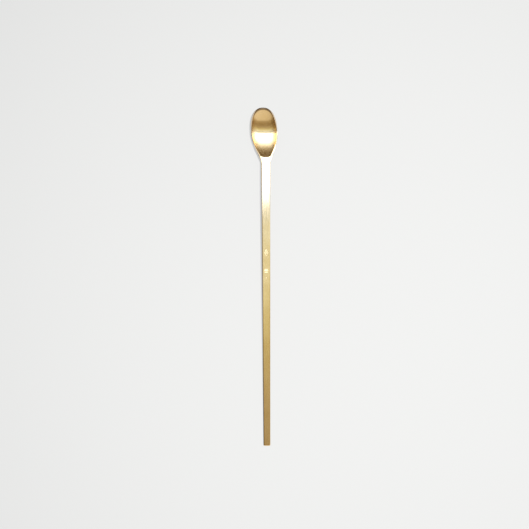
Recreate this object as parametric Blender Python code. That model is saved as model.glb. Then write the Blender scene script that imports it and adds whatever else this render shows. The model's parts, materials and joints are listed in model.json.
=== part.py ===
"""Bar spoon: a pressed brass bowl, brazed by its tang to a long flat handle.

Metres, +Z up, lying on the XY plane on its belly and on the end of its handle. The handle runs
along Y with the tip of the bowl at +Y, and the origin is at the bottom centre of the bounding box.
A distance called "along" runs from the tip of the bowl towards the end of the handle.
"""

import math

import bmesh
import bpy
from mathutils import Matrix, Vector

MM = 0.001

# Lengths along the spoon, from the tip
LENGTH = 300 * MM
WIDEST_AT = 20 * MM
DEEPEST_AT = 23 * MM
NECK_AT = 50 * MM
JOINT_AT = 68 * MM

# Outline
BOWL_HALF_WIDTH = 11.7 * MM
NECK_HALF_WIDTH = 3.95 * MM
END_HALF_WIDTH = 3.05 * MM
TIP_ROUNDNESS = 2.3
SHOULDER_ROUNDNESS = 1.35
TIP_FLAT = 0.05 * MM
LEAN = 0.052
LEAN_FROM = 49 * MM
LEAN_BLEND = 4 * MM

# Hollow of the bowl, inside its narrow rim. Sweep is how gently its depth fades along the spoon on
# each side of the deepest place, and fullness is how squarely the hollow fills its width.
RIM_AT_TIP = 0.95 * MM
HOLLOW_HALF_WIDTH = 10.8 * MM
HOLLOW_END_AT = 43.5 * MM
HOLLOW_DEPTH = 5.6 * MM
TIP_SWEEP = 2.0
NECK_SWEEP = 1.3
FULLNESS = 2.45
HOLLOW_OVERSHOOT = 1.04
HOLLOW_LAST_RING = 0.96
HOLLOW_HEADROOM = 1 * MM

# Metal
BELLY_THICKNESS = 1.4 * MM
RIM_EDGE_HEIGHT = 0.9 * MM
RIM_EDGE_RADIUS = 0.4 * MM
NECK_THICKNESS = 2.35 * MM
NECK_EDGE_RADIUS = 0.92 * MM
END_CORNER_RADIUS = 0.7 * MM
RIM_THICKENS_FROM = 28 * MM
BELLY_BLENDS_TO = 50 * MM
BELLY_SWEEP = 2.0
BELLY_FULLNESS = 2.3

# Side view: the neck rises from the rim, then the handle falls straight to the table
RISE_FROM = 44 * MM
STEEPEST_AT = 52 * MM
STRAIGHT_FROM = 105 * MM
STEEPEST_TO_HANDLE = 1.8

# Brazed joint
SCARF_ANGLE = math.atan(0.5)
BRAZE_THICKNESS = 0.4 * MM
GAP = 0.3 * MM
TANG_END_AT = 76 * MM
BLOCK_DEPTH = 40 * MM
BLOCK_WIDTH = 6 * NECK_HALF_WIDTH
BLOCK_HEIGHT = 12 * NECK_HALF_WIDTH

# Fineness of the shapes
ARC_STEPS = 4
UNDERSIDE_STEPS = 10
TIP_ROWS = 14
BODY_ROWS = 30
BEND_STATIONS = 18
STRAIGHT_STATIONS = 10
CORNER_STATIONS = 5
HOLLOW_AROUND = 64
HOLLOW_RINGS = 36
OUTLINE_STEPS = 100
SHARP_ANGLE = math.radians(35)
MERGE_DISTANCE = 0.0001 * MM
WELD_DISTANCE = 0.001 * MM

RIM_HEIGHT = HOLLOW_DEPTH + BELLY_THICKNESS


def ease(part, start, end):
    """0 before start, 1 after end and a half cosine wave between them."""
    share = min(max((part - start) / (end - start), 0.0), 1.0)
    return 0.5 - 0.5 * math.cos(math.pi * share)


def half_width(along):
    """Half the spoon's width at a distance from the tip."""
    along = max(along, TIP_FLAT)
    if along < WIDEST_AT:
        inward = abs(1 - along / WIDEST_AT) ** TIP_ROUNDNESS
        return BOWL_HALF_WIDTH * (1 - inward) ** (1 / TIP_ROUNDNESS)
    if along < NECK_AT:
        share = ((along - WIDEST_AT) / (NECK_AT - WIDEST_AT)) ** SHOULDER_ROUNDNESS
        swell = 0.5 * (1 + math.cos(math.pi * share))
        return NECK_HALF_WIDTH + (BOWL_HALF_WIDTH - NECK_HALF_WIDTH) * swell
    share = (along - NECK_AT) / (LENGTH - NECK_AT)
    return NECK_HALF_WIDTH + (END_HALF_WIDTH - NECK_HALF_WIDTH) * share


def taper(along):
    """Size of the bar's section as a share of its size at the neck."""
    return half_width(max(along, NECK_AT)) / NECK_HALF_WIDTH


def lean(along):
    """How far the bowl's centre line swings to -X of the handle's."""
    before = LEAN_FROM - along
    if before <= 0:
        return 0.0
    if before < 2 * LEAN_BLEND:
        return -LEAN * before**2 / (4 * LEAN_BLEND)
    return -LEAN * (before - LEAN_BLEND)


def climb(along):
    """Height gained since the rim by a bar whose handle falls at a slope of 1."""
    height = 0.0
    stretches = (
        (RISE_FROM, STEEPEST_AT, 0.0, STEEPEST_TO_HANDLE),
        (STEEPEST_AT, STRAIGHT_FROM, STEEPEST_TO_HANDLE, -1.0),
        (STRAIGHT_FROM, LENGTH, -1.0, -1.0),
    )
    for start, end, first, last in stretches:
        run = min(max(along - start, 0.0), end - start)
        bend = (last - first) / (end - start)
        height += run * (first + 0.5 * bend * run)
    return height


HANDLE_SLOPE = (RIM_HEIGHT - NECK_THICKNESS * taper(LENGTH)) / -climb(LENGTH)


def top_height(along):
    """Height of the upper face: the bowl's rim, the neck and the handle."""
    return RIM_HEIGHT + HANDLE_SLOPE * climb(along)


def bowl_edges():
    """Lowest and highest X of the bowl, measured from the handle's centre line."""
    rows = [WIDEST_AT * step / OUTLINE_STEPS for step in range(2 * OUTLINE_STEPS + 1)]
    low = min(lean(along) - half_width(along) for along in rows)
    high = max(lean(along) + half_width(along) for along in rows)
    return low, high


HANDLE_X = -sum(bowl_edges()) / 2


def place(across, along, height):
    """World point for a place on the straight spoon, with the bowl's lean added."""
    return Vector((HANDLE_X + lean(along) + across, LENGTH / 2 - along, height))


def clear_scene():
    for thing in list(bpy.data.objects):
        bpy.data.objects.remove(thing, do_unlink=True)


def make_collection(name):
    collection = bpy.data.collections.new(name)
    bpy.context.scene.collection.children.link(collection)
    return collection


def make_material(name, colour, roughness):
    material = bpy.data.materials.new(name)
    material.use_nodes = True
    shader = material.node_tree.nodes["Principled BSDF"]
    shader.inputs["Base Color"].default_value = (*colour, 1.0)
    shader.inputs["Roughness"].default_value = roughness
    shader.inputs["Metallic"].default_value = 1.0
    return material


def add_object(name, bm, collection, material=None):
    """Turns a bmesh into a smooth object with sharp corners kept."""
    bmesh.ops.recalc_face_normals(bm, faces=bm.faces)
    mesh = bpy.data.meshes.new(name)
    bm.to_mesh(mesh)
    bm.free()
    mesh.shade_smooth()
    mesh.set_sharp_from_angle(angle=SHARP_ANGLE)
    made = bpy.data.objects.new(name, mesh)
    collection.objects.link(made)
    if material:
        mesh.materials.append(material)
    return made


def as_cutter(made):
    made.display_type = "WIRE"
    made.hide_render = True
    return made


def boolean(target, cutter, operation):
    modifier = target.modifiers.new(cutter.name, "BOOLEAN")
    modifier.operation = operation
    modifier.solver = "EXACT"
    modifier.object = cutter


def arc(centre_x, centre_z, radius, start, end):
    """Points on an arc, from one angle to another in degrees."""
    turns = [start + (end - start) * step / ARC_STEPS for step in range(ARC_STEPS + 1)]
    angles = [math.radians(turn) for turn in turns]
    return [(centre_x + radius * math.cos(a), centre_z + radius * math.sin(a)) for a in angles]


def half_section(along):
    """Right half of the bowl's section, from the top centre to the bottom centre.

    The side is upright at the rim. Below it the underside curves down to the keel, which
    flattens into the underside of the tang.
    """
    to_neck = ease(along, RIM_THICKENS_FROM, STEEPEST_AT)
    tang_thickness = NECK_THICKNESS * taper(along)
    edge = RIM_EDGE_HEIGHT + (tang_thickness - RIM_EDGE_HEIGHT) * to_neck
    radius = RIM_EDGE_RADIUS + (NECK_EDGE_RADIUS * taper(along) - RIM_EDGE_RADIUS) * to_neck
    width = half_width(along)
    if along < DEEPEST_AT:
        keel = RIM_HEIGHT - (RIM_HEIGHT - edge) * abs(1 - along / DEEPEST_AT) ** BELLY_SWEEP
    else:
        fall = ease(along, DEEPEST_AT, BELLY_BLENDS_TO)
        keel = RIM_HEIGHT + (tang_thickness - RIM_HEIGHT) * fall
    points = [(0.0, 0.0)]
    points += arc(width - radius, -radius, radius, 90, 0)
    points += arc(width - radius, radius - edge, radius, 0, -90)
    for step in range(1, UNDERSIDE_STEPS + 1):
        share = 1 - step / UNDERSIDE_STEPS
        points.append(((width - radius) * share, -edge - (keel - edge) * (1 - share**BELLY_FULLNESS)))
    return points


def full_section(along):
    """Closed section, clockwise seen from the tip, as world points."""
    right = half_section(along)
    left = [(-across, drop) for across, drop in reversed(right[1:-1])]
    top = top_height(along)
    return [place(across, along, top + drop) for across, drop in right + left]


def loft(rows):
    """Wraps a grid round a list of closed sections and closes both ends."""
    around = len(rows[0])
    lengthwise = len(rows) - 1
    bm = bmesh.new()
    bmesh.ops.create_grid(bm, x_segments=around, y_segments=lengthwise, size=0.5)
    for vertex in bm.verts:
        column = round((vertex.co.x + 0.5) * around) % around
        row = round((vertex.co.y + 0.5) * lengthwise)
        vertex.co = rows[row][column]
    bmesh.ops.remove_doubles(bm, verts=bm.verts, dist=MERGE_DISTANCE)
    bmesh.ops.holes_fill(bm, edges=[edge for edge in bm.edges if edge.is_boundary], sides=0)
    return bm


def bowl_rows():
    """Places of the bowl's sections: close together round the tip, even further on."""
    tip = [WIDEST_AT * (1 - math.cos(0.5 * math.pi * n / TIP_ROWS)) for n in range(TIP_ROWS)]
    body = [WIDEST_AT + (TANG_END_AT - WIDEST_AT) * n / BODY_ROWS for n in range(BODY_ROWS + 1)]
    return tip + body


def make_bowl_blank(collection, material):
    rows = [full_section(along) for along in bowl_rows()]
    return add_object("bowl", loft(rows), collection, material)


def hollow_end(along):
    """Reach and sweep of the end of the hollow that a place belongs to."""
    if along < DEEPEST_AT:
        return DEEPEST_AT - RIM_AT_TIP, TIP_SWEEP
    return HOLLOW_END_AT - DEEPEST_AT, NECK_SWEEP


def hollow_height(across, along):
    """Height of the hollow's surface, which is the rim's height all round its lip."""
    reach, sweep = hollow_end(along)
    depth_left = 1 - (abs(along - DEEPEST_AT) / reach) ** sweep
    return RIM_HEIGHT - HOLLOW_DEPTH * (depth_left - (abs(across) / HOLLOW_HALF_WIDTH) ** FULLNESS)


def lip_point(turn):
    """Place on the hollow's lip, by its angle round the deepest place from the tip's direction."""
    back = -math.cos(turn)
    side = math.sin(turn)
    reach, sweep = hollow_end(DEEPEST_AT + back)
    along = DEEPEST_AT + math.copysign(reach * abs(back) ** (2 / sweep), back)
    return math.copysign(HOLLOW_HALF_WIDTH * abs(side) ** (2 / FULLNESS), side), along


def make_hollow_cutter(collection):
    """A sphere pressed into the shape of the hollow, with its upper half above the rim."""
    bm = bmesh.new()
    bmesh.ops.create_uvsphere(bm, u_segments=HOLLOW_AROUND, v_segments=HOLLOW_RINGS, radius=1.0)
    for vertex in bm.verts:
        share = HOLLOW_OVERSHOOT * math.hypot(vertex.co.x, vertex.co.y)
        lip_across, lip_along = lip_point(math.atan2(vertex.co.x, vertex.co.y))
        inner = min(share, HOLLOW_LAST_RING)
        height = hollow_height(inner * lip_across, DEEPEST_AT + inner * (lip_along - DEEPEST_AT))
        if share > inner:
            rise = (RIM_HEIGHT - height) / (1 - HOLLOW_LAST_RING)
            height += rise * (share - inner)
        if vertex.co.z > MERGE_DISTANCE:
            height = RIM_HEIGHT + HOLLOW_HEADROOM + HOLLOW_DEPTH * vertex.co.z
        along = DEEPEST_AT + share * (lip_along - DEEPEST_AT)
        vertex.co = place(share * lip_across, along, height)
    return as_cutter(add_object("hollow", bm, collection))


def bar_profile(collection):
    """The bar's section at the neck: a flat bar with rounded edges, as a curve to sweep."""
    half_thickness = NECK_THICKNESS / 2
    corner_x = NECK_HALF_WIDTH - NECK_EDGE_RADIUS
    corner_z = half_thickness - NECK_EDGE_RADIUS
    corners = ((1, 1, 0), (-1, 1, 90), (-1, -1, 180), (1, -1, 270))
    points = []
    for sign_x, sign_z, start in corners:
        points += arc(sign_x * corner_x, sign_z * corner_z, NECK_EDGE_RADIUS, start, start + 90)
    curve = bpy.data.curves.new("bar_profile", "CURVE")
    curve.dimensions = "2D"
    spline = curve.splines.new("POLY")
    spline.points.add(len(points) - 1)
    for point, (across, up) in zip(spline.points, points):
        point.co = (across, up, 0.0, 1.0)
    spline.use_cyclic_u = True
    made = bpy.data.objects.new("bar_profile", curve)
    collection.objects.link(made)
    return as_cutter(made)


def bar_path():
    """Places and section sizes down the bar, from inside the tang to its rounded end."""
    corner_from = LENGTH - END_CORNER_RADIUS
    bend_run = STRAIGHT_FROM - NECK_AT
    bend = [NECK_AT + bend_run * n / BEND_STATIONS for n in range(BEND_STATIONS)]
    run = corner_from - STRAIGHT_FROM
    straight = [STRAIGHT_FROM + run * n / STRAIGHT_STATIONS for n in range(STRAIGHT_STATIONS)]
    stations = [(along, taper(along)) for along in bend + straight]
    for n in range(CORNER_STATIONS + 1):
        turn = 0.5 * math.pi * n / CORNER_STATIONS
        drawn_in = END_CORNER_RADIUS * (1 - math.cos(turn)) / END_HALF_WIDTH
        along = corner_from + END_CORNER_RADIUS * math.sin(turn)
        stations.append((along, taper(along) * (1 - drawn_in)))
    return stations


def make_bar(name, profile, collection):
    """Sweeps the profile down the handle's centre line, then turns the curve into a mesh."""
    curve = bpy.data.curves.new(name, "CURVE")
    curve.dimensions = "3D"
    curve.bevel_mode = "OBJECT"
    curve.bevel_object = profile
    curve.use_fill_caps = True
    curve.twist_mode = "Z_UP"
    spline = curve.splines.new("POLY")
    stations = bar_path()
    spline.points.add(len(stations) - 1)
    for point, (along, size) in zip(spline.points, stations):
        centre = place(0.0, along, top_height(along) - NECK_THICKNESS * taper(along) / 2)
        point.co = (*centre, 1.0)
        point.radius = size
    swept = bpy.data.objects.new(name, curve)
    collection.objects.link(swept)
    depsgraph = bpy.context.evaluated_depsgraph_get()
    bm = bmesh.new()
    mesh = bpy.data.meshes.new_from_object(swept.evaluated_get(depsgraph))
    bm.from_mesh(mesh)
    bpy.data.meshes.remove(mesh)
    bpy.data.objects.remove(swept, do_unlink=True)
    bmesh.ops.remove_doubles(bm, verts=bm.verts, dist=WELD_DISTANCE)
    return bm


def joint_block(name, collection, start, thickness):
    """A block lying along the scarf: it starts this far to the bowl's side of the braze's middle."""
    bm = bmesh.new()
    bmesh.ops.create_cube(bm, size=1.0)
    size = Vector((BLOCK_WIDTH, abs(thickness), BLOCK_HEIGHT))
    bmesh.ops.scale(bm, vec=size, verts=bm.verts)
    bmesh.ops.translate(bm, vec=Vector((0.0, start + thickness / 2, 0.0)), verts=bm.verts)
    block = as_cutter(add_object(name, bm, collection))
    middle = top_height(JOINT_AT) - NECK_THICKNESS * taper(JOINT_AT) / 2
    tilt = math.pi / 2 - SCARF_ANGLE
    block.matrix_world = Matrix.Translation(place(0.0, JOINT_AT, middle)) @ Matrix.Rotation(tilt, 4, "X")
    return block


def build():
    clear_scene()
    parts = make_collection("bar_spoon")
    cutters = make_collection("cutters")
    brass = make_material("brushed_brass", (0.80, 0.56, 0.25), 0.32)
    braze = make_material("braze_alloy", (0.84, 0.68, 0.40), 0.38)

    profile = bar_profile(cutters)
    room = BRAZE_THICKNESS / 2 + GAP
    below_joint = joint_block("below_joint", cutters, room, -BLOCK_DEPTH)
    above_joint = joint_block("above_joint", cutters, -room, BLOCK_DEPTH)
    seam_slab = joint_block("seam_slab", cutters, -BRAZE_THICKNESS / 2, BRAZE_THICKNESS)

    bowl = make_bowl_blank(parts, brass)
    boolean(bowl, make_hollow_cutter(cutters), "DIFFERENCE")
    boolean(bowl, below_joint, "DIFFERENCE")

    handle = add_object("handle", make_bar("handle", profile, cutters), parts, brass)
    boolean(handle, above_joint, "DIFFERENCE")

    seam = add_object("braze_seam", make_bar("braze_seam", profile, cutters), parts, braze)
    boolean(seam, seam_slab, "INTERSECT")


build()
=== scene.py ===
"""Bar spoon in brushed brass: bowl, brazed seam and handle on a pale table, as a Blender add-on.

Metres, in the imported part's own frame. The spoon lies along Y with the tip of its bowl at +Y.
A distance called "along" runs from the tip of the bowl towards the end of the handle.
"""

import json
import math

import bmesh
import bpy
from bpy.props import FloatProperty, FloatVectorProperty, PointerProperty
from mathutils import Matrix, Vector

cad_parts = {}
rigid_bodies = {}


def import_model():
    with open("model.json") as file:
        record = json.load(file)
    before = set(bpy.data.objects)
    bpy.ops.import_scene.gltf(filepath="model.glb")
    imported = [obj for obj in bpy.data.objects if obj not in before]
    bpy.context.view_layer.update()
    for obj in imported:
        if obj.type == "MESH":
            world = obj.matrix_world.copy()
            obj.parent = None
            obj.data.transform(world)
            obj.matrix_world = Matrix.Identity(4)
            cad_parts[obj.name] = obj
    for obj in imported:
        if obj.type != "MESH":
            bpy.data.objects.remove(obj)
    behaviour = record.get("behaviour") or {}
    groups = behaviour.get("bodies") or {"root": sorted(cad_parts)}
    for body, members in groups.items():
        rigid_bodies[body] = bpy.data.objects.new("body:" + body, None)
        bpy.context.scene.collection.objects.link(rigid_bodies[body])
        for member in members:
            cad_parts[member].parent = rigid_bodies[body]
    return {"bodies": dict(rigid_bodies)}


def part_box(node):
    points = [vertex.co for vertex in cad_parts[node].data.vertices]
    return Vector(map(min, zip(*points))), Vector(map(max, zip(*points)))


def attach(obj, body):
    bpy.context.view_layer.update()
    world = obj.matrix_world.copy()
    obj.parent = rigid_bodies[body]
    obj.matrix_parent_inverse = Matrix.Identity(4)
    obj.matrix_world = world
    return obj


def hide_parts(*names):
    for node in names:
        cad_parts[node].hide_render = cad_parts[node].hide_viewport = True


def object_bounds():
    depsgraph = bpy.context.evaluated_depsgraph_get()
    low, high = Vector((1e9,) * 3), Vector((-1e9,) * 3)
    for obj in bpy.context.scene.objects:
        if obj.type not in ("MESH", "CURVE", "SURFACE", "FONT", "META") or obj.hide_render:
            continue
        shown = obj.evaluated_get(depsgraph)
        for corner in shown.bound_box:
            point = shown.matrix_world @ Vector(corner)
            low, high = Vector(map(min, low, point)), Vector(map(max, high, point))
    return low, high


bl_info = {
    "name": "Bar Spoon",
    "version": (1, 0, 0),
    "blender": (4, 5, 0),
    "location": "View3D > Sidebar > Bar Spoon",
    "description": "Builds a brushed brass bar spoon on a pale table",
    "category": "Add Mesh",
}

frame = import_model()
CAD_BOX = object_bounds()
CAD_LOW, CAD_HIGH = CAD_BOX
HANDLE_LOW, HANDLE_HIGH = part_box("handle")
BODY = next(iter(frame["bodies"]))

MM = 0.001
BRUSH_UV = "brush_direction"
PAINTED_SHADE = "tarnish"
# How far the painted shade reaches in from the -X edge and from the rim round the tip: a dark border
# painted where those edges fall into shade
EDGE_PAINTED_SHADE = 1.0 * MM
RIM_PAINTED_SHADE = 1.35 * MM
# A face whose normal rises less than this counts as the side of the spoon
STEEP = 0.35
SHARP_ANGLE = math.radians(50)


def length_property(name, description, default):
    return FloatProperty(
        name=name, description=description, default=default, min=0.0, precision=5, unit="LENGTH"
    )


def share_property(name, description, default):
    return FloatProperty(
        name=name, description=description, default=default, min=0.0, max=1.0, subtype="FACTOR"
    )


def offset_property(name, description, default):
    return FloatProperty(name=name, description=description, default=default, precision=5, unit="LENGTH")


def turn_property(name, description, default):
    return FloatProperty(name=name, description=description, default=default, subtype="ANGLE")


def strength_property(name, description, default):
    return FloatProperty(name=name, description=description, default=default, min=0.0)


def colour_property(name, description, default):
    return FloatVectorProperty(
        name=name, description=description, default=default, size=3, min=0.0, max=1.0,
        subtype="COLOR",
    )


class BowlSettings(bpy.types.PropertyGroup):
    """Sizes of the bowl and of the neck that carries it"""

    half_width: length_property(
        "Half width", "Half the bowl's width over the rim", 11.65 * MM
    )
    widest_at: length_property("Widest at", "From the tip to the widest place", 20 * MM)
    deepest_at: length_property("Deepest at", "From the tip to the deepest place", 22.7 * MM)
    neck_at: length_property("Neck at", "From the tip to the end of the shoulders", 50 * MM)
    depth: length_property("Depth", "Depth of the hollow below the rim", 5.6 * MM)
    rim_height: length_property("Rim height", "Height of the rim above the table", 7 * MM)
    rim_at_tip: length_property("Rim at tip", "Width of the flat rim at the tip", 0.95 * MM)
    hollow_half_width: length_property("Hollow half width", "Half the hollow's width", 11.15 * MM)
    hollow_end_at: length_property("Hollow ends at", "From the tip", 44.0 * MM)
    edge_height: length_property("Edge height", "Upright height of the rim's edge", 0.9 * MM)
    edge_radius: length_property("Edge radius", "Rounding of the rim's edge", 0.3 * MM)
    rim_fall: length_property("Rim fall", "Fall of the rim from its lip outwards", 0.15 * MM)
    lip_rounding: length_property("Lip rounding", "Reach of the worn lip", 0.1 * MM)
    lean: share_property("Lean", "Sideways swing of the bowl for each length of bowl", 0.052)


class HandleSettings(bpy.types.PropertyGroup):
    """Sizes of the bar that makes the neck and the handle"""

    length: length_property("Length", "Overall length of the spoon", CAD_HIGH.y - CAD_LOW.y)
    neck_half_width: length_property("Neck half width", "Half the bar's width at the neck", 3.95 * MM)
    end_half_width: length_property("End half width", "Half the bar's width at its end", 3.05 * MM)
    neck_thickness: length_property("Neck thickness", "Thickness of the bar at the neck", 2.35 * MM)
    edge_radius: length_property("Edge radius", "Rounding of the bar's edges at the neck", 0.92 * MM)
    corner_radius: length_property("Corner radius", "Rounding of the end's corners", 0.7 * MM)
    joint_at: length_property("Joint at", "From the tip to the middle of the scarf joint", 68 * MM)
    braze: length_property("Braze", "Thickness of the brazing alloy", 0.12 * MM)
    mark_depth: length_property("Mark depth", "Depth of the punched marks", 0.09 * MM)


class BrassSettings(bpy.types.PropertyGroup):
    """Colours and polish of the brushed brass, and the dark colour painted as shade on its border"""

    colour: colour_property("Brass", "Colour of clean brass", (0.85, 0.61, 0.29))
    dulled: colour_property("Dulled brass", "Colour of brass that has begun to dull", (0.76, 0.52, 0.21))
    braze: colour_property("Braze", "Colour of the brazing alloy", (0.84, 0.66, 0.36))
    rubbed: colour_property("Rubbed edge", "Colour of an edge rubbed bright", (0.95, 0.78, 0.48))
    # Painted shade: a dark colour laid on the -X edge and the tip's rim in place of the shade there, not a
    # colour the brass has
    tarnished: colour_property("Tarnish", "Colour of the tarnished border", (0.21, 0.135, 0.062))
    roughness: share_property("Roughness", "Spread of the shine across the brushing", 0.22)


class StudioSettings(bpy.types.PropertyGroup):
    """The table, the camera over it and the light round it"""

    camera_height: length_property("Camera height", "Camera above the table", 1.0)
    view_width: length_property("View width", "Width of table in view", 0.471)
    view_right: offset_property("View right", "View centre to +X", -0.2 * MM)
    view_up: offset_property("View up", "View centre to +Y", 11.2 * MM)
    roll: turn_property("Roll", "Camera roll", math.radians(-0.26))
    table: colour_property("Table", "Colour of the table", (0.888, 0.888, 0.872))
    light_turn: turn_property("Light turn", "Turn of the light about the upright", -0.052)
    lamp: strength_property("Lamp", "Strength of the lamp that casts the shadow", 70.0)
    brightness: strength_property("Brightness", "Strength of the light", 1.0)


# Shape


def ease(part, start, end):
    """0 before start, 1 after end and a half cosine wave between them."""
    share = min(max((part - start) / (end - start), 0.0), 1.0)
    return 0.5 - 0.5 * math.cos(math.pi * share)


class Spoon:
    """The spoon's outline, side view and section, worked out from the settings."""

    tip_roundness = 2.3
    shoulder_roundness = 1.28
    tip_sweep, neck_sweep = 1.8, 1.3
    fullness, belly_fullness = 3.0, 2.3
    rise_from, steepest_at, straight_from = 44 * MM, 52 * MM, 105 * MM
    steepest = 1.8
    lean_from, lean_blend = 49 * MM, 4 * MM

    def __init__(self, bowl, handle):
        for name in bowl.__annotations__:
            setattr(self, "bowl_" + name, getattr(bowl, name))
        for name in handle.__annotations__:
            setattr(self, name, getattr(handle, name))
        self.handle_x = (HANDLE_LOW.x + HANDLE_HIGH.x) / 2
        end_thickness = self.neck_thickness * self.taper(self.length)
        self.slope = (self.bowl_rim_height - end_thickness) / -self.climb(self.length)

    def half_width(self, along):
        if along < self.bowl_widest_at:
            inward = (1 - max(along, 0.0) / self.bowl_widest_at) ** self.tip_roundness
            return self.bowl_half_width * (1 - inward) ** (1 / self.tip_roundness)
        if along < self.bowl_neck_at:
            run = self.bowl_neck_at - self.bowl_widest_at
            share = ((along - self.bowl_widest_at) / run) ** self.shoulder_roundness
            swell = 0.5 * (1 + math.cos(math.pi * share))
            return self.neck_half_width + (self.bowl_half_width - self.neck_half_width) * swell
        share = (along - self.bowl_neck_at) / (self.length - self.bowl_neck_at)
        return self.neck_half_width + (self.end_half_width - self.neck_half_width) * share

    def taper(self, along):
        return self.half_width(max(along, self.bowl_neck_at)) / self.neck_half_width

    def sideways(self, along):
        before = self.lean_from - along
        if before <= 0:
            return 0.0
        if before < 2 * self.lean_blend:
            return -self.bowl_lean * before**2 / (4 * self.lean_blend)
        return -self.bowl_lean * (before - self.lean_blend)

    def climb(self, along):
        """Height gained since the rim by a bar whose handle falls at a slope of 1."""
        height = 0.0
        stretches = (
            (self.rise_from, self.steepest_at, 0.0, self.steepest),
            (self.steepest_at, self.straight_from, self.steepest, -1.0),
            (self.straight_from, self.length, -1.0, -1.0),
        )
        for start, end, first, last in stretches:
            run = min(max(along - start, 0.0), end - start)
            height += run * (first + 0.5 * run * (last - first) / (end - start))
        return height

    def top(self, along):
        return self.bowl_rim_height + self.slope * self.climb(along)

    def thickness(self, along):
        return self.neck_thickness * self.taper(along)

    def edge(self, along):
        """Upright height of the edge and the radius that rounds it."""
        to_neck = ease(along, 28 * MM, self.steepest_at)
        height = self.bowl_edge_height + (self.thickness(along) - self.bowl_edge_height) * to_neck
        full_radius = self.edge_radius * self.taper(along)
        return height, self.bowl_edge_radius + (full_radius - self.bowl_edge_radius) * to_neck

    def rim_fall(self, along):
        return self.bowl_rim_fall * (1 - ease(along, 30 * MM, 47 * MM))

    def hollow_height(self, across, along):
        """Height of the hollow's surface, which is the rim's height all round its lip."""
        away = abs(along - self.bowl_deepest_at)
        if along < self.bowl_deepest_at:
            left = 1 - (away / (self.bowl_deepest_at - self.bowl_rim_at_tip)) ** self.tip_sweep
        else:
            left = 1 - (away / (self.bowl_hollow_end_at - self.bowl_deepest_at)) ** self.neck_sweep
        share_across = abs(across) / self.bowl_hollow_half_width
        return self.bowl_rim_height - self.bowl_depth * (left - share_across**self.fullness)

    def place(self, across, along, height):
        tip_y = CAD_HIGH.y
        return Vector((self.handle_x + self.sideways(along) + across, tip_y - along, height))


def edge_profile(radius, height, steps=5):
    """Inset and drop of points round an edge, from the upper face round to the lower one."""
    points = []
    for step in range(steps + 1):
        turn = 0.5 * math.pi * step / steps
        points.append((radius * (1 - math.sin(turn)), radius * (1 - math.cos(turn))))
    lower = min(radius, 0.95 * (height - radius))
    for step in range(steps + 1):
        turn = 0.5 * math.pi * step / steps
        points.append((lower * (1 - math.cos(turn)), height - lower * (1 - math.sin(turn))))
    return points


EDGE_POINTS = 12
COLUMNS = 44
SIDE_POINTS = 96


def bar_loop(spoon, along, slant=0.0, inset=0.0, drop_in=0.0, relief=None):
    """Closed loop round the bar: upper face, right edge, lower face, left edge.

    slant tips the loop over so that its upper face runs further down the bar, as in the scarf.
    inset draws the sides in, drop_in draws the faces in, and relief gives the depth of marks.
    """
    thick = spoon.thickness(along)
    width = spoon.half_width(along) - inset
    radius = min(spoon.edge_radius * spoon.taper(along), width, thick / 2 - drop_in)
    flat = width - radius
    profile = edge_profile(radius, thick - 2 * drop_in)
    points = [(flat * (2 * n / COLUMNS - 1), 0.0) for n in range(COLUMNS + 1)]
    points += [(width - point_inset, drop) for point_inset, drop in profile[1:-1]]
    points += [(flat * (1 - 2 * n / COLUMNS), thick - 2 * drop_in) for n in range(COLUMNS + 1)]
    points += [(point_inset - width, drop) for point_inset, drop in reversed(profile[1:-1])]
    loop = []
    for across, drop in points:
        drop += drop_in
        there = along + slant * (thick / 2 - drop)
        sunk = relief(across, there) if relief and drop <= drop_in else 0.0
        loop.append(spoon.place(across, there, spoon.top(there) - drop - sunk))
    return loop


def add_loops(bm, loops, close_start=False, close_end=False):
    """Joins a list of closed loops with quads and fills the ends that are asked for."""
    rings = [[bm.verts.new(point) for point in loop] for loop in loops]
    bridge(bm, rings)
    if close_start:
        bm.faces.new(list(reversed(rings[0])))
    if close_end:
        bm.faces.new(rings[-1])
    return rings


def bridge(bm, rings, closed=True):
    """Joins each ring of vertices to the next one with quads."""
    for ring, following in zip(rings, rings[1:]):
        count = len(ring)
        for n in range(count if closed else count - 1):
            after = (n + 1) % count
            bm.faces.new((ring[n], ring[after], following[after], following[n]))


def brush_direction(bm, spoon):
    """Lays U along the spoon on every face, so that the brushing runs down its length and its bowl."""
    layer = bm.loops.layers.uv.new(BRUSH_UV)
    for face in bm.faces:
        normal = face.normal
        steep = abs(normal.z) < STEEP
        for corner in face.loops:
            where = corner.vert.co
            girth = where.z * math.copysign(1.0, normal.x)
            if not steep:
                girth = where.x - spoon.sideways(CAD_HIGH.y - where.y)
            corner[layer].uv = (where.y, girth)


def paint_edge_shade(bm, spoon):
    """Marks the border that is painted dark as shade, 1 at the edge and 0 inside it: all round the tip,
    then only on -X.
    """
    layer = bm.verts.layers.float.new(PAINTED_SHADE)
    power = spoon.tip_roundness
    for vertex in bm.verts:
        along = CAD_HIGH.y - vertex.co.y
        across = vertex.co.x - spoon.handle_x - spoon.sideways(along)
        inside = spoon.half_width(min(max(along, 0.0), spoon.length)) + across
        left = 1 - ease(inside, EDGE_PAINTED_SHADE / 3, EDGE_PAINTED_SHADE)
        back = max(1 - along / spoon.bowl_widest_at, 0.0)
        out = (abs(across / spoon.bowl_half_width) ** power + back**power) ** (1 / power)
        from_rim = (1 - out) * spoon.bowl_half_width
        at_tip = 1 - ease(along, 20.3 * MM, 22.3 * MM)
        vertex[layer] = max(left, at_tip * (1 - ease(from_rim, 0.7 * RIM_PAINTED_SHADE, RIM_PAINTED_SHADE)))


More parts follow.
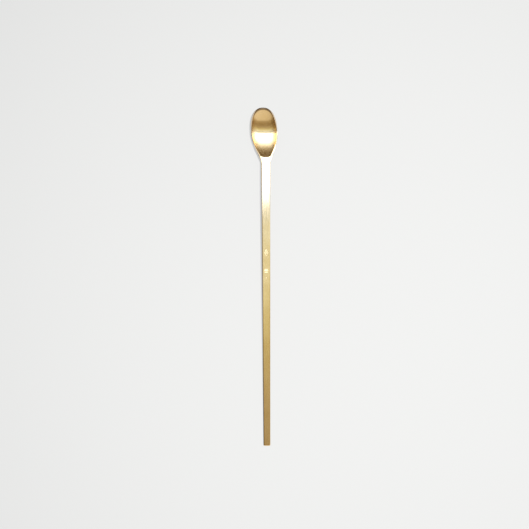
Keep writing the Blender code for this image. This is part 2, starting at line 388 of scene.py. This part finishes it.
def finish_piece(name, bm, spoon, material, node):
    """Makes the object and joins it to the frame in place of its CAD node."""
    bmesh.ops.recalc_face_normals(bm, faces=bm.faces)
    brush_direction(bm, spoon)
    paint_edge_shade(bm, spoon)
    mesh = bpy.data.meshes.new(name)
    bm.to_mesh(mesh)
    bm.free()
    mesh.shade_smooth()
    mesh.set_sharp_from_angle(angle=SHARP_ANGLE)
    mesh.materials.append(material)
    piece = bpy.data.objects.new(name, mesh)
    bpy.context.scene.collection.objects.link(piece)
    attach(piece, BODY)
    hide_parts(node)
    return piece


# Bowl

# Rings of the bowl's mesh, and the turn round the lip that ends at the shoulders' corner
HOLLOW_RINGS, LIP_RINGS, LAND_RINGS, BELLY_RINGS = 40, 6, 5, 36
TANG_LOOPS = 34
CORNER_TURN = math.radians(32)


def rim_pairs(spoon):
    """Matching points on the lip and on the outline, round the bowl from its tip.

    Each pair is lip across, lip along, outline across, outline along. The right side comes first,
    then the line across the neck, then the left side.
    """
    widest = spoon.bowl_deepest_at
    near = widest - spoon.bowl_rim_at_tip
    far = spoon.bowl_hollow_end_at - widest
    corner = CORNER_TURN

    def lip_beyond(turn):
        """Point on the neck side of the lip, its turn measured from the neck's direction."""
        out = math.copysign(abs(math.sin(turn)) ** (2 / spoon.fullness), turn)
        return spoon.bowl_hollow_half_width * out, widest + far * math.cos(turn) ** (2 / spoon.neck_sweep)

    right = []
    half = SIDE_POINTS // 2
    for n in range(half):
        turn = 0.5 * math.pi * n / half
        lip_out = math.sin(turn) ** (2 / spoon.fullness)
        lip_back = math.cos(turn) ** (2 / spoon.tip_sweep)
        out = math.sin(turn) ** (2 / spoon.tip_roundness)
        back = math.cos(turn) ** (2 / spoon.tip_roundness)
        lip = (spoon.bowl_hollow_half_width * lip_out, widest - near * lip_back)
        right.append((*lip, spoon.bowl_half_width * out, spoon.bowl_widest_at * (1 - back)))
    lip_at_corner = lip_beyond(corner)[1]
    slack = spoon.bowl_neck_at - spoon.bowl_widest_at - (lip_at_corner - widest)
    for n in range(half + 1):
        share = n / half
        lip = lip_beyond(0.5 * math.pi + (corner - 0.5 * math.pi) * share)
        along = spoon.bowl_widest_at + lip[1] - widest + slack * share**3
        right.append((*lip, spoon.half_width(along), along))
    neck = []
    _, radius = spoon.edge(spoon.bowl_neck_at)
    flat = spoon.half_width(spoon.bowl_neck_at) - radius
    for n in range(1, COLUMNS):
        share = 1 - 2 * n / COLUMNS
        neck.append((*lip_beyond(corner * share), flat * share, spoon.bowl_neck_at))
    left = [(-pair[0], pair[1], -pair[2], pair[3]) for pair in reversed(right[1:])]
    return right, neck, left


def outward(pairs, n, at_neck):
    """Unit vector out of the outline at a point, as across and along."""
    if at_neck:
        return math.copysign(1.0, pairs[n][2]), 0.0
    before, after = pairs[n - 1], pairs[(n + 1) % len(pairs)]
    across, along = after[2] - before[2], after[3] - before[3]
    length = math.hypot(across, along)
    return along / length, -across / length


def bowl_mesh(spoon):
    """The bowl, its shoulders and the tang, as rings round the bowl joined to loops down the tang."""
    right, neck, left = rim_pairs(spoon)
    pairs = right + neck + left
    total = len(pairs)
    first_neck, last_neck = len(right) - 1, len(right) + len(neck)
    on_neck = [first_neck < n < last_neck for n in range(total)]
    normals = [outward(pairs, n, first_neck <= n <= last_neck) for n in range(total)]
    centre = spoon.bowl_deepest_at
    bm = bmesh.new()

    def ring(point):
        return [bm.verts.new(spoon.place(*point(n))) for n in range(total)]

    def hollow(n, share, beyond=0.0):
        """Point at a share of the way from the deepest place to the lip, or beyond it."""
        across, along = pairs[n][0], pairs[n][1] - centre
        reach = math.hypot(across, along)
        rounding = spoon.bowl_lip_rounding
        distance = share * (reach - rounding) + beyond
        scale = distance / reach
        past = distance - reach
        if past <= -rounding:
            height = spoon.hollow_height(across * scale, centre + along * scale)
        else:
            inner = 1 - rounding / reach
            inner_height = spoon.hollow_height(across * inner, centre + along * inner)
            fall = spoon.bowl_rim_height - inner_height
            height = spoon.bowl_rim_height - fall * ((rounding - past) / (2 * rounding)) ** 2
        return across * scale, centre + along * scale, height

    def edge_point(n, step):
        across, along = pairs[n][2], pairs[n][3]
        height, radius = spoon.edge(along)
        inset, drop = edge_profile(radius, height)[step]
        if on_neck[n]:
            inset = 0.0
            drop = 0.0 if step == 0 else spoon.thickness(along)
        out = normals[n]
        there = along - out[1] * inset
        return across - out[0] * inset, there, spoon.top(there) - drop - spoon.rim_fall(along)

    def land(n, share):
        start = hollow(n, 1.0, 2 * spoon.bowl_lip_rounding)
        end = edge_point(n, 0)
        across = start[0] + (end[0] - start[0]) * share
        along = start[1] + (end[1] - start[1]) * share
        return across, along, spoon.top(along) - share * spoon.rim_fall(pairs[n][3])

    def underside(n, share):
        """Point at a share of the way from the belly to the lower edge."""
        rim = edge_point(n, EDGE_POINTS - 1)
        along_rim = pairs[n][3]
        across = rim[0] * share
        along = centre + (rim[1] - centre) * share
        to_neck = ease(along_rim, 24 * MM, spoon.bowl_neck_at)
        bowl_dish = 1 - share**spoon.belly_fullness
        dish = bowl_dish + (1 - ease(share, 0.0, 1.0) - bowl_dish) * to_neck
        return across, along, rim[2] - (rim[2] - CAD_LOW.z) * dish

    hollow_rings = [ring(lambda n, s=s: hollow(n, s)) for s in shares(HOLLOW_RINGS)]
    lip_reach = 2 * spoon.bowl_lip_rounding
    lip_rings = [ring(lambda n, b=s * lip_reach: hollow(n, 1.0, b)) for s in shares(LIP_RINGS)]
    land_rings = [ring(lambda n, s=s: land(n, s)) for s in shares(LAND_RINGS)]
    rings = hollow_rings + lip_rings + land_rings
    bridge(bm, rings)
    middle = bm.verts.new(spoon.place(0.0, centre, spoon.bowl_rim_height - spoon.bowl_depth))
    close_fan(bm, middle, rings[0])

    below = [ring(lambda n, s=s: underside(n, s)) for s in reversed(shares(BELLY_RINGS))]
    bridge(bm, below)
    belly = bm.verts.new(spoon.place(0.0, centre, CAD_LOW.z))
    close_fan(bm, belly, below[-1])

    side_numbers = list(range(last_neck, total)) + list(range(first_neck + 1))
    edge_rings = [[land_rings[-1][n] for n in side_numbers]]
    for step in range(1, EDGE_POINTS - 1):
        edge_rings.append(
            [bm.verts.new(spoon.place(*edge_point(n, step))) for n in side_numbers]
        )
    edge_rings.append([below[0][n] for n in side_numbers])
    bridge(bm, edge_rings, closed=False)

    across_neck = list(range(first_neck, last_neck + 1))
    upper = [land_rings[-1][n] for n in reversed(across_neck)]
    lower = [below[0][n] for n in across_neck]
    right_edge = [row[-1] for row in edge_rings[1:-1]]
    left_edge = [row[0] for row in reversed(edge_rings[1:-1])]
    neck_loop = upper + right_edge + lower + left_edge
    tang = tang_loops(spoon)
    made = [neck_loop] + [[bm.verts.new(point) for point in loop] for loop in tang]
    bridge(bm, made)
    bm.faces.new(made[-1])
    return bm


def shares(count):
    """The shares of a whole cut into a number of equal steps, without the 0."""
    return [step / count for step in range(1, count + 1)]


def close_fan(bm, middle, ring):
    """Closes a ring with triangles to a vertex in its middle."""
    for n, corner in enumerate(ring):
        bm.faces.new((middle, corner, ring[(n + 1) % len(ring)]))


def tang_loops(spoon):
    """Loops from the shoulders to the scarf, tipping over as they near it."""
    start = spoon.bowl_neck_at
    end = spoon.joint_at - scarf_offset(spoon)
    loops = []
    for share in shares(TANG_LOOPS):
        slant = SCARF_RUN * ease(share, SLANT_STARTS, 1.0)
        loops.append(bar_loop(spoon, start + (end - start) * share, slant))
    return loops


# The scarf runs this far down the bar for its depth, and the tang's loops start to tip here
SCARF_RUN = 2.0
SLANT_STARTS = 0.3
SEAM_GAP = 0.01 * MM


def scarf_offset(spoon):
    """Distance down the bar from the joint's middle to the tang's end face."""
    return (spoon.braze / 2 + SEAM_GAP) * math.hypot(1.0, SCARF_RUN)


def seam_mesh(spoon):
    """The thin slanting slice of brazing alloy, filed flush with the bar."""
    half = spoon.braze / 2 * math.hypot(1.0, SCARF_RUN)
    rows = (-half, 0.0, half)
    bm = bmesh.new()
    loops = [bar_loop(spoon, spoon.joint_at + row, SCARF_RUN) for row in rows]
    add_loops(bm, loops, close_start=True, close_end=True)
    return bm


# Handle


def lozenge(across, along, centre_across, centre_along, half_width, half_length):
    """0 on a lozenge's outline, less inside and more outside, in metres."""
    reach = abs(across - centre_across) / half_width + abs(along - centre_along) / half_length
    return (reach - 1) * half_width


def punch_marks(spoon):
    """Depth of two plain punched marks: a pair of nested lozenges and a row of three bars."""
    first_at, second_at, dot_at = 127.7 * MM, 144 * MM, 150.3 * MM

    def groove(distance, reach=0.14 * MM):
        return max(0.0, 1 - (distance / reach) ** 2)

    def depth(across, along):
        if not first_at - 5 * MM < along < dot_at + 2 * MM:
            return 0.0
        cut = groove(lozenge(across, along, 0, first_at, 1.5 * MM, 3.0 * MM))
        cut = max(cut, groove(lozenge(across, along, 0, first_at, 0.7 * MM, 1.4 * MM)))
        for n in (-1, 0, 1):
            bar = max(abs(across) - 1.3 * MM, abs(along - second_at - n * 1.3 * MM) - 0.1 * MM, 0.0)
            cut = max(cut, groove(bar, 0.2 * MM))
        dot = math.hypot(across, along - dot_at) / (0.35 * MM)
        return spoon.mark_depth * max(cut, max(0.0, 1 - dot**2))

    return depth


def handle_rows(spoon):
    """Distances of the handle's loops: close together at the scarf and where it is marked."""
    start = spoon.joint_at + scarf_offset(spoon)
    end = spoon.length - spoon.corner_radius
    marked_from, marked_to = 124 * MM, 151 * MM
    rows = [start + (80 * MM - start) * n / 24 for n in range(24)]
    rows += [80 * MM + (marked_from - 80 * MM) * n / 40 for n in range(40)]
    rows += [marked_from + (marked_to - marked_from) * n / 200 for n in range(200)]
    rows += [marked_to + (end - marked_to) * n / 120 for n in range(121)]
    return rows


def handle_mesh(spoon):
    """The handle: loops from the scarf to its end, which is drawn in round the end face."""
    relief = punch_marks(spoon)
    loops = []
    for along in handle_rows(spoon):
        loops.append(bar_loop(spoon, along, SCARF_RUN * (1 - ease(along, 68 * MM, 80 * MM)), relief=relief))
    steps = 8
    radius = spoon.corner_radius
    crown = 0.12 * MM
    for n in range(1, steps + 1):
        turn = 0.5 * math.pi * n / steps
        along = spoon.length - radius + radius * math.sin(turn)
        drawn_in = radius * (1 - math.cos(turn))
        loops.append(bar_loop(spoon, along, inset=drawn_in, drop_in=0.5 * drawn_in))
    for loop in loops[-steps:]:
        for point in loop:
            side = (point.x - spoon.handle_x) / spoon.end_half_width
            point.y += crown * side**2
    middle = sum(loops[-1], Vector()) / len(loops[-1])
    loops.append([point.lerp(middle, 0.3) for point in loops[-1]])
    bm = bmesh.new()
    add_loops(bm, loops, close_start=True, close_end=True)
    return bm


# Materials


# Brushing: lines to the metre across and along it, their depth, and how far they vary the polish
LINES_ACROSS, LINES_ALONG = 4200.0, 70.0
SCRATCH_STRENGTH, SCRATCH_DEPTH = 0.35, 0.02 * MM
SMOOTHEST, ROUGHEST = 0.85, 1.2
FILED_ROUGHER = 0.05
# Wear: dulled patches to the metre, where an edge starts to count as sharp, and how it is rubbed
PATCHES = 55.0
EDGE_STARTS = 0.53
EDGE_RUB, EDGE_POLISH = 0.35, 0.06


def new_group(name, inputs, outputs):
    group = bpy.data.node_groups.new(name, "ShaderNodeTree")
    for socket_name, kind, default in inputs:
        socket = group.interface.new_socket(socket_name, in_out="INPUT", socket_type=kind)
        socket.default_value = default
    for socket_name, kind in outputs:
        group.interface.new_socket(socket_name, in_out="OUTPUT", socket_type=kind)
    return group, group.nodes.new("NodeGroupInput"), group.nodes.new("NodeGroupOutput")


def node(tree, kind, links=None, **values):
    """Adds a node, sets its properties and joins or sets its inputs by name or number."""
    made = tree.nodes.new(kind)
    for name, value in values.items():
        setattr(made, name, value)
    for socket, source in (links or {}).items():
        if isinstance(source, bpy.types.NodeSocket):
            tree.links.new(source, made.inputs[socket])
        else:
            made.inputs[socket].default_value = source
    return made


def maths(tree, operation, first, second=0.0):
    return node(tree, "ShaderNodeMath", {0: first, 1: second}, operation=operation).outputs[0]


def mixed(tree, share, under, over):
    """Mixes a plain colour over another colour by a mask."""
    mix = node(tree, "ShaderNodeMix", {0: share, 6: under, 7: (*over, 1.0)}, data_type="RGBA")
    return mix.outputs[2]


def brushed_lines_group():
    """Fine scratches down the spoon: long hair lines and coarser strokes."""
    group, given, result = new_group(
        "brushed_lines",
        (("Fineness", "NodeSocketFloat", 5000.0), ("Stroke", "NodeSocketFloat", 60.0)),
        (("Lines", "NodeSocketFloat"), ("Strokes", "NodeSocketFloat"), ("Height", "NodeSocketFloat")),
    )
    where = node(group, "ShaderNodeTexCoord").outputs["Object"]
    layers = []
    for share_across, share_along in ((1.0, 1.0), (0.35, 0.7)):
        across = maths(group, "MULTIPLY", given.outputs["Fineness"], share_across)
        along = maths(group, "MULTIPLY", given.outputs["Stroke"], share_along)
        stretch = node(group, "ShaderNodeCombineXYZ", {0: across, 1: along, 2: across})
        spread = node(
            group, "ShaderNodeVectorMath", {0: where, 1: stretch.outputs[0]}, operation="MULTIPLY"
        )
        noise = node(
            group, "ShaderNodeTexNoise",
            {"Vector": spread.outputs[0], "Scale": 1.0, "Detail": 3.0, "Roughness": 0.6},
        )
        layers.append(noise.outputs["Fac"])
    height = maths(group, "MULTIPLY", maths(group, "ADD", layers[0], layers[1]), 0.5)
    group.links.new(layers[0], result.inputs["Lines"])
    group.links.new(layers[1], result.inputs["Strokes"])
    group.links.new(height, result.inputs["Height"])
    return group


def wear_group():
    """Masks for rubbed edges and for patches that have dulled."""
    group, given, result = new_group(
        "edge_wear",
        (("Patch Scale", "NodeSocketFloat", 60.0), ("Edge Start", "NodeSocketFloat", 0.52)),
        (("Edge", "NodeSocketFloat"), ("Patches", "NodeSocketFloat")),
    )
    where = node(group, "ShaderNodeTexCoord").outputs["Object"]
    patches = node(
        group, "ShaderNodeTexNoise",
        {"Vector": where, "Scale": given.outputs["Patch Scale"], "Detail": 4.0, "Roughness": 0.55},
    )
    geometry = node(group, "ShaderNodeNewGeometry")
    edge = node(
        group, "ShaderNodeMapRange",
        {
            "Value": geometry.outputs["Pointiness"],
            "From Min": given.outputs["Edge Start"],
            "From Max": 0.62,
        },
    )
    group.links.new(edge.outputs[0], result.inputs["Edge"])
    group.links.new(patches.outputs["Fac"], result.inputs["Patches"])
    return group


def metal_material(name, clean, dulled, roughness, settings, groups):
    """Brushed metal whose shine spreads across the brushing."""
    material = bpy.data.materials.new(name)
    material.use_nodes = True
    tree = material.node_tree
    shader = tree.nodes["Principled BSDF"]
    lines = node(tree, "ShaderNodeGroup", node_tree=groups["lines"])
    lines.inputs["Fineness"].default_value = LINES_ACROSS
    lines.inputs["Stroke"].default_value = LINES_ALONG
    wear = node(tree, "ShaderNodeGroup", node_tree=groups["wear"])
    wear.inputs["Patch Scale"].default_value = PATCHES
    wear.inputs["Edge Start"].default_value = EDGE_STARTS

    dull_mask = node(
        tree, "ShaderNodeMapRange",
        {"Value": wear.outputs["Patches"], "From Min": 0.42, "From Max": 0.7, "To Max": 0.8},
    )
    body = mixed(tree, dull_mask.outputs[0], (*clean, 1.0), dulled)
    dark_line = node(
        tree, "ShaderNodeMapRange",
        {"Value": lines.outputs["Lines"], "From Min": 0.3, "From Max": 0.7, "To Min": 0.9, "To Max": 1.05},
    )
    tinted = node(
        tree, "ShaderNodeVectorMath", {0: body, "Scale": dark_line.outputs[0]}, operation="SCALE"
    )
    edge = maths(tree, "MULTIPLY", wear.outputs["Edge"], EDGE_RUB)
    rubbed = mixed(tree, edge, tinted.outputs[0], settings.rubbed)
    # Painted shade: the border marked on the -X edge and round the tip's rim is mixed towards a dark colour
    tarnish = node(tree, "ShaderNodeAttribute", attribute_name=PAINTED_SHADE)
    bordered = mixed(tree, tarnish.outputs["Fac"], rubbed, settings.tarnished)
    tree.links.new(bordered, shader.inputs["Base Color"])

    streak = node(
        tree, "ShaderNodeMapRange",
        {
            "Value": lines.outputs["Strokes"], "From Min": 0.3, "From Max": 0.7,
            "To Min": roughness * SMOOTHEST, "To Max": roughness * ROUGHEST,
        },
    )
    polish = maths(tree, "MULTIPLY", wear.outputs["Edge"], EDGE_POLISH)
    rough = maths(tree, "SUBTRACT", streak.outputs[0], polish)
    tree.links.new(rough, shader.inputs["Roughness"])

    bump = node(
        tree, "ShaderNodeBump",
        {"Strength": SCRATCH_STRENGTH, "Distance": SCRATCH_DEPTH, "Height": lines.outputs["Height"]},
    )
    tree.links.new(bump.outputs[0], shader.inputs["Normal"])
    direction = node(tree, "ShaderNodeTangent", direction_type="UV_MAP", uv_map=BRUSH_UV)
    tree.links.new(direction.outputs[0], shader.inputs["Tangent"])
    shader.inputs["Metallic"].default_value = 1.0
    shader.inputs["Anisotropic"].default_value = 1.0
    shader.inputs["Anisotropic Rotation"].default_value = 0.25
    return material


def finishes(settings):
    """The two metals, made once and found again by name."""
    if "worn_brass" not in bpy.data.materials:
        groups = {"lines": brushed_lines_group(), "wear": wear_group()}
        brass_roughness = settings.roughness
        braze_roughness = settings.roughness + FILED_ROUGHER
        metal_material("worn_brass", settings.colour, settings.dulled, brass_roughness, settings, groups)
        metal_material("filed_braze", settings.braze, settings.colour, braze_roughness, settings, groups)
    return bpy.data.materials["worn_brass"], bpy.data.materials["filed_braze"]


# Studio


# The table's glow is brightest here and dims with the square of the distance from it, by up to
# DEEPEST_FADE: a painted pool of light
BRIGHT_SPOT = (0.147, -0.047, 0.0)
TABLE_FADE = 0.6
DEEPEST_FADE = 0.25
# Share of its colour that the table scatters, so that the lamp shadows it, and share that it gives off
TABLE_ALBEDO = 0.015
TABLE_GLOW = 0.657
TABLE_SIZE = 3.0
# The lamp's spread and its tilt from straight up
LAMP_SPREAD = math.radians(5)
LAMP_TILT = math.radians(11)
# Strength of the plain backdrop that the camera sees in place of the studio's light
BACKDROP = 0.75


def table_top(settings):
    """A plain pale table that is lit from within, so that shadows on it stay faint; its glow is a painted
    pool of light, brightest at BRIGHT_SPOT.
    """
    bm = bmesh.new()
    bmesh.ops.create_grid(bm, x_segments=8, y_segments=8, size=TABLE_SIZE)
    mesh = bpy.data.meshes.new("table_top")
    bm.to_mesh(mesh)
    bm.free()
    material = bpy.data.materials.new("pale_table")
    material.use_nodes = True
    tree = material.node_tree
    shader = tree.nodes["Principled BSDF"]
    shader.inputs["Roughness"].default_value = 1.0
    shader.inputs["Specular IOR Level"].default_value = 0.0
    shader.inputs["Base Color"].default_value = (*[c * TABLE_ALBEDO for c in settings.table], 1.0)
    shader.inputs["Emission Color"].default_value = (*settings.table, 1.0)
    where = node(tree, "ShaderNodeTexCoord").outputs["Object"]
    # Painted pool of light: the glow fades away from BRIGHT_SPOT as the studio light falls off
    away = node(tree, "ShaderNodeVectorMath", {0: where, 1: BRIGHT_SPOT}, operation="DISTANCE")
    falling = maths(tree, "MULTIPLY", maths(tree, "POWER", away.outputs["Value"], 2.0), TABLE_FADE)
    glow = maths(tree, "SUBTRACT", TABLE_GLOW, maths(tree, "MINIMUM", falling, DEEPEST_FADE))
    tree.links.new(glow, shader.inputs["Emission Strength"])
    mesh.materials.append(material)
    top = bpy.data.objects.new("table_top", mesh)
    bpy.context.scene.collection.objects.link(top)
    return top


# Light arriving from each direction, by its angle from straight up towards the bowl's end (+)
LIGHT_ROUND = (
    (-90, (0.70, 0.66, 0.60)),
    (-60, (0.90, 0.88, 0.90)),
    (-24.4, (0.93, 0.91, 0.91)),
    (-22.8, (0.50, 0.43, 0.32)),
    (-18, (0.40, 0.33, 0.22)),
    (-14, (0.41, 0.34, 0.24)),
    (-12, (0.52, 0.48, 0.40)),
    (-10, (0.54, 0.48, 0.38)),
    (-7.4, (0.76, 0.74, 0.49)),
    (-5.5, (0.90, 0.98, 0.80)),
    (-4.5, (1.14, 1.28, 1.31)),
    (-3.2, (1.09, 1.27, 1.57)),
    (-1.8, (0.96, 1.10, 1.23)),
    (0, (0.88, 1.01, 1.20)),
    (1.8, (0.9, 1.1, 1.6)),
    (3.4, (1.1, 1.4, 2.3)),
    (6.0, (3.6, 4.4, 6.4)),
    (33.7, (3.6, 4.4, 6.4)),
    (36.4, (1.5, 1.7, 2.2)),
    (38.3, (0.72, 0.68, 0.62)),
    (39.4, (0.30, 0.24, 0.16)),
    (40.6, (0.20, 0.15, 0.09)),
    (75, (0.24, 0.18, 0.11)),
    (90, (0.5, 0.45, 0.4)),
)
# Share of that light which arrives from each side, by its angle from straight up towards +X
LIGHT_ACROSS = (
    (-90, (0.10, 0.10, 0.10)),
    (-80, (0.12, 0.11, 0.10)),
    (-66, (0.70, 0.68, 0.66)),
    (-40, (0.92, 0.92, 0.92)),
    (0, (1.0, 1.0, 1.0)),
    (60, (1.0, 1.0, 1.0)),
    (90, (1.0, 1.0, 1.0)),
)
BRIGHTEST = max(max(colour) for _, colour in LIGHT_ROUND)


def colours_by_angle(tree, angle, stops):
    """A ramp from 90 degrees on one side to 90 on the other, through the stops given."""
    share = node(
        tree, "ShaderNodeMapRange",
        {"Value": angle, "From Min": -math.pi / 2, "From Max": math.pi / 2},
    )
    ramp = node(tree, "ShaderNodeValToRGB", {0: share.outputs[0]})
    made = ramp.color_ramp.elements
    while len(made) < len(stops):
        made.new(0.5)
    brightest = max(max(colour) for _, colour in stops)
    for stop, (degrees, colour) in zip(made, stops):
        stop.position = (degrees + 90) / 180
        stop.color = (*[part / brightest for part in colour], 1.0)
    return ramp.outputs[0]


def studio_light(settings):
    """A world that stands for the studio: a broad soft box over the bowl's end, dark beside it."""
    world = bpy.data.worlds.new("studio")
    bpy.context.scene.world = world
    world.use_nodes = True
    tree = world.node_tree
    background = tree.nodes["Background"]
    where = node(tree, "ShaderNodeTexCoord").outputs["Generated"]
    turned = node(
        tree, "ShaderNodeVectorRotate", {"Vector": where, "Angle": settings.light_turn},
        rotation_type="Z_AXIS",
    )
    parts = node(tree, "ShaderNodeSeparateXYZ", {0: turned.outputs[0]})
    above = maths(tree, "ADD", parts.outputs["Z"], 1.0)
    colours = []
    for axis, stops in (("Y", LIGHT_ROUND), ("X", LIGHT_ACROSS)):
        angle = maths(tree, "MULTIPLY", maths(tree, "ARCTAN2", parts.outputs[axis], above), 2.0)
        colours.append(colours_by_angle(tree, angle, stops))
    light = node(
        tree, "ShaderNodeVectorMath", {0: colours[0], 1: colours[1]}, operation="MULTIPLY"
    )
    tree.links.new(light.outputs[0], background.inputs["Color"])
    background.inputs["Strength"].default_value = BRIGHTEST * settings.brightness
    plain = {"Color": (*settings.table, 1.0), "Strength": BACKDROP}
    backdrop = node(tree, "ShaderNodeBackground", plain)
    direct = node(tree, "ShaderNodeLightPath").outputs["Is Camera Ray"]
    seen = node(tree, "ShaderNodeMixShader", {0: direct, 1: background.outputs[0], 2: backdrop.outputs[0]})
    tree.links.new(seen.outputs[0], tree.nodes["World Output"].inputs["Surface"])


def shadow_lamp(settings):
    """A lamp high on the right that lays a narrow shadow on the table and isn't mirrored in the brass."""
    lamp = bpy.data.lights.new("shadow_lamp", "SUN")
    lamp.energy = settings.lamp
    lamp.angle = LAMP_SPREAD
    placed = bpy.data.objects.new("shadow_lamp", lamp)
    placed.rotation_euler = (0.0, LAMP_TILT, 0.0)
    placed.visible_glossy = False
    bpy.context.scene.collection.objects.link(placed)


def overhead_camera(settings):
    camera = bpy.data.cameras.new("overhead_camera")
    camera.sensor_width = 36.0
    camera.lens = camera.sensor_width * settings.camera_height / settings.view_width
    camera.clip_start, camera.clip_end = 0.05, 20.0
    placed = bpy.data.objects.new("overhead_camera", camera)
    placed.location = (settings.view_right, settings.view_up, settings.camera_height)
    placed.rotation_euler = (0.0, 0.0, settings.roll)
    bpy.context.scene.collection.objects.link(placed)
    bpy.context.scene.camera = placed


# Operators


class BARSPOON_OT_bowl(bpy.types.Operator):
    """Make the bowl with its neck and tang"""

    bl_idname = "barspoon.bowl"
    bl_label = "Bowl"

    def execute(self, context):
        scene = context.scene
        spoon = Spoon(scene.barspoon_bowl, scene.barspoon_handle)
        brass, _ = finishes(scene.barspoon_brass)
        finish_piece("pressed_bowl", bowl_mesh(spoon), spoon, brass, "bowl")
        return {"FINISHED"}


class BARSPOON_OT_seam(bpy.types.Operator):
    """Make the brazed seam between tang and handle"""

    bl_idname = "barspoon.seam"
    bl_label = "Brazed seam"

    def execute(self, context):
        scene = context.scene
        spoon = Spoon(scene.barspoon_bowl, scene.barspoon_handle)
        _, alloy = finishes(scene.barspoon_brass)
        finish_piece("filed_seam", seam_mesh(spoon), spoon, alloy, "braze_seam")
        return {"FINISHED"}


class BARSPOON_OT_handle(bpy.types.Operator):
    """Make the flat tapered handle with its punched marks"""

    bl_idname = "barspoon.handle"
    bl_label = "Handle"

    def execute(self, context):
        scene = context.scene
        spoon = Spoon(scene.barspoon_bowl, scene.barspoon_handle)
        brass, _ = finishes(scene.barspoon_brass)
        finish_piece("flat_handle", handle_mesh(spoon), spoon, brass, "handle")
        return {"FINISHED"}


class BARSPOON_OT_stage(bpy.types.Operator):
    """Set the table, the light and the camera"""

    bl_idname = "barspoon.stage"
    bl_label = "Table, light and camera"

    def execute(self, context):
        settings = context.scene.barspoon_studio
        table_top(settings)
        studio_light(settings)
        shadow_lamp(settings)
        overhead_camera(settings)
        context.scene.view_settings.view_transform = "Standard"
        return {"FINISHED"}


OPERATORS = (BARSPOON_OT_bowl, BARSPOON_OT_seam, BARSPOON_OT_handle, BARSPOON_OT_stage)


class BARSPOON_PT_panel(bpy.types.Panel):
    """Lists the spoon's pieces and the stage"""

    bl_idname = "BARSPOON_PT_panel"
    bl_label = "Bar Spoon"
    bl_space_type = "VIEW_3D"
    bl_region_type = "UI"
    bl_category = "Bar Spoon"

    def draw(self, context):
        for operator in OPERATORS:
            self.layout.operator(operator.bl_idname)


SETTINGS = {
    "barspoon_bowl": BowlSettings,
    "barspoon_handle": HandleSettings,
    "barspoon_brass": BrassSettings,
    "barspoon_studio": StudioSettings,
}
CLASSES = (*SETTINGS.values(), *OPERATORS, BARSPOON_PT_panel)


def register():
    for made in CLASSES:
        bpy.utils.register_class(made)
    for name, made in SETTINGS.items():
        setattr(bpy.types.Scene, name, PointerProperty(type=made))


def unregister():
    for name in SETTINGS:
        delattr(bpy.types.Scene, name)
    for made in reversed(CLASSES):
        bpy.utils.unregister_class(made)


def main():
    register()
    bpy.ops.barspoon.bowl()
    bpy.ops.barspoon.seam()
    bpy.ops.barspoon.handle()
    bpy.ops.barspoon.stage()


if __name__ == "__main__":
    main()
